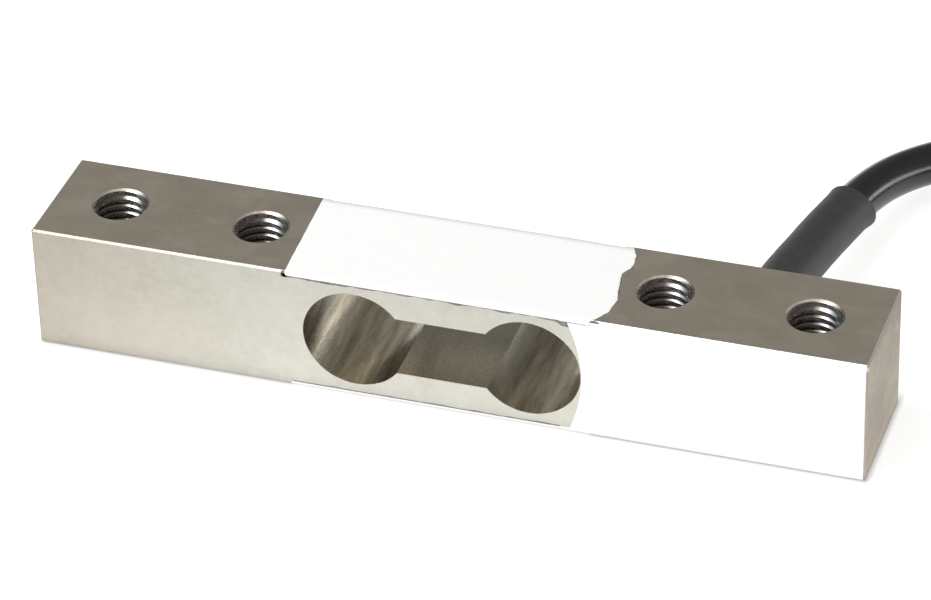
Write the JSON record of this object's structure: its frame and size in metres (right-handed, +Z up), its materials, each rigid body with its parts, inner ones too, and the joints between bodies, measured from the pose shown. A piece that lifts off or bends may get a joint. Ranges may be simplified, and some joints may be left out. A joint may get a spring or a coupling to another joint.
{
  "type": "single point load cell",
  "caption": "Square aluminium load cell bar with a slotted double bore, tapped holes, white gauge coat, blank label and a black cable laid in a tied coil.",
  "frame": {"origin": "under the middle of the bar, on its underside", "axes": "+X along the bar towards the cable end, -Y out of the labelled front face, +Z up through the tapped holes"},
  "size_m": [0.1403, 0.0591, 0.0128],
  "materials": {
    "aluminium": "fine milled, satin",
    "silicone": "soft, faint sheen",
    "label": "smooth satin film",
    "polyimide": "thin amber film",
    "gauge_foil": "etched foil",
    "copper": "bright copper",
    "solder": "bright solder",
    "lacquered_wire": "lacquered copper",
    "potting": "matt",
    "cable_jacket": "soft black jacket",
    "heat_shrink": "matt black sleeve",
    "red_insulation": "smooth",
    "black_insulation": "smooth",
    "green_insulation": "smooth",
    "white_insulation": "smooth",
    "tinned_copper": "tinned strands",
    "tie_plastic": "matt black"
  },
  "bodies": {
    "root": {"spring_element": "aluminium", "silicone_upper": "silicone", "silicone_lower": "silicone", "blank_label": "label", "cable_potting": "potting", "core_splices": "solder", "entry_sleeve": "heat_shrink", "cable": "cable_jacket", "cable_coil": "cable_jacket", "coil_tie": "tie_plastic", "end_sleeve": "heat_shrink", "lead_red": "red_insulation", "lead_black": "black_insulation", "lead_green": "green_insulation", "lead_white": "white_insulation", "drain_wire": "tinned_copper", "tinned_tips": "tinned_copper", "cable_core_red": "red_insulation", "cable_core_black": "black_insulation", "cable_core_green": "green_insulation", "cable_core_white": "white_insulation", "bridge_wires_upper": "lacquered_wire", "terminal_film_upper": "polyimide", "terminal_pads_upper": "copper", "jumper_wires_upper": "copper", "solder_joints_upper": "solder", "gauge_backing_load_end_upper": "polyimide", "gauge_grid_load_end_upper": "gauge_foil", "gauge_backing_cable_end_upper": "polyimide", "gauge_grid_cable_end_upper": "gauge_foil", "bridge_wires_lower": "lacquered_wire", "terminal_film_lower": "polyimide", "terminal_pads_lower": "copper", "jumper_wires_lower": "copper", "solder_joints_lower": "solder", "gauge_backing_load_end_lower": "polyimide", "gauge_grid_load_end_lower": "gauge_foil", "gauge_backing_cable_end_lower": "polyimide", "gauge_grid_cable_end_lower": "gauge_foil"}
  },
  "joints": []
}
